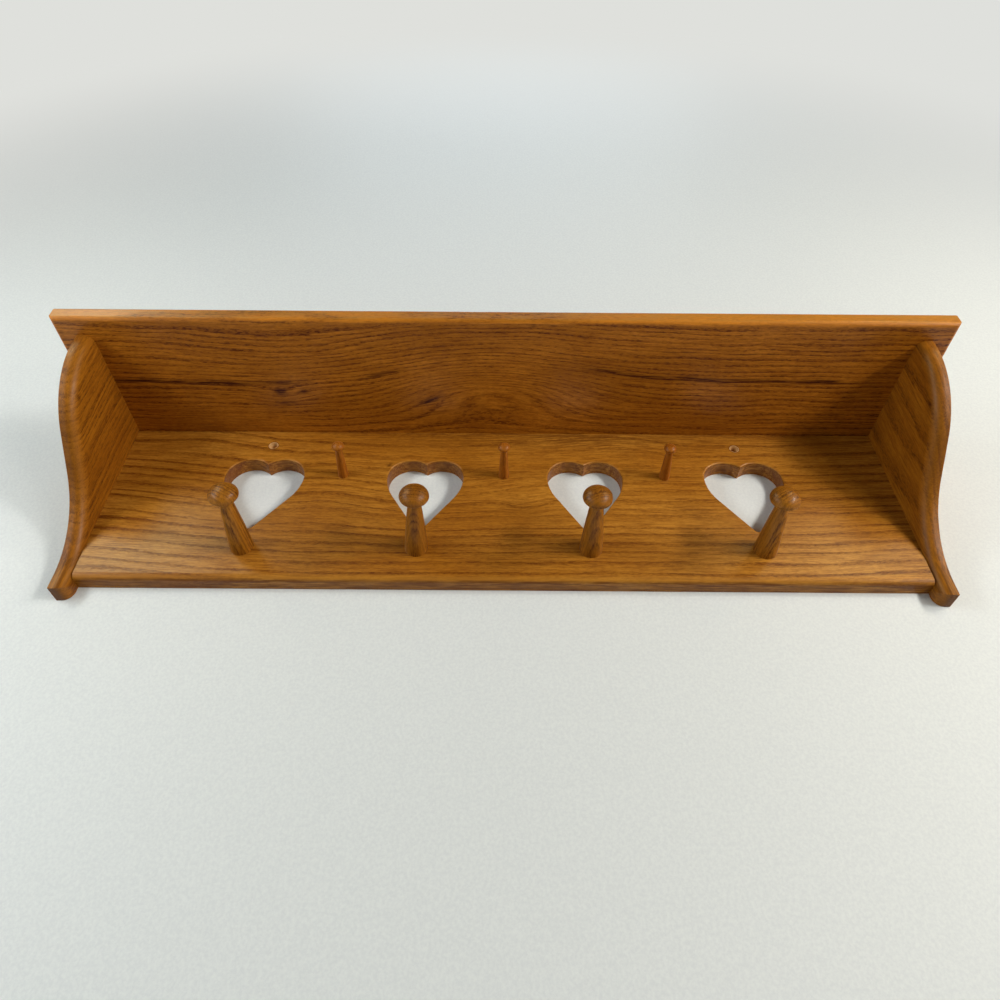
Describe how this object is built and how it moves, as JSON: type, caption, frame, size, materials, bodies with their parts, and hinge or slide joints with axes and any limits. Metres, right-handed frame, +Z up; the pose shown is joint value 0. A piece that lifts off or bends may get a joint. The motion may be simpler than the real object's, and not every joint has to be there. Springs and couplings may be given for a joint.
{
  "type": "peg rail with shelf",
  "caption": "Oak wall shelf over a peg rail, with curved side brackets, heart cut-outs, large turned pegs under the hearts and small ones between them.",
  "frame": {"origin": "midway between the two wall screw holes, in the plane of the wall that the back lies on", "axes": "+X along the rail to the right as seen from the front, +Y into the wall, +Z up"},
  "size_m": [0.816, 0.1539, 0.2133],
  "materials": {
    "shelf_oak": "satin varnish",
    "rail_oak": "satin varnish",
    "side_oak": "satin varnish",
    "peg_oak": "satin varnish",
    "dowel_birch": "raw"
  },
  "bodies": {
    "root": {"shelf_board": "shelf_oak", "peg_rail": "rail_oak", "left_side": "side_oak", "right_side": "side_oak", "peg_1": "peg_oak", "peg_2": "peg_oak", "peg_3": "peg_oak", "peg_4": "peg_oak", "mini_peg_1": "peg_oak", "mini_peg_2": "peg_oak", "mini_peg_3": "peg_oak", "shelf_rail_dowel_1": "dowel_birch", "shelf_rail_dowel_2": "dowel_birch", "shelf_rail_dowel_3": "dowel_birch", "shelf_rail_dowel_4": "dowel_birch", "shelf_rail_dowel_5": "dowel_birch", "left_end_dowel_1": "dowel_birch", "left_end_dowel_2": "dowel_birch", "left_end_dowel_3": "dowel_birch", "left_top_dowel_1": "dowel_birch", "left_top_dowel_2": "dowel_birch", "right_end_dowel_1": "dowel_birch", "right_end_dowel_2": "dowel_birch", "right_end_dowel_3": "dowel_birch", "right_top_dowel_1": "dowel_birch", "right_top_dowel_2": "dowel_birch"}
  },
  "joints": []
}
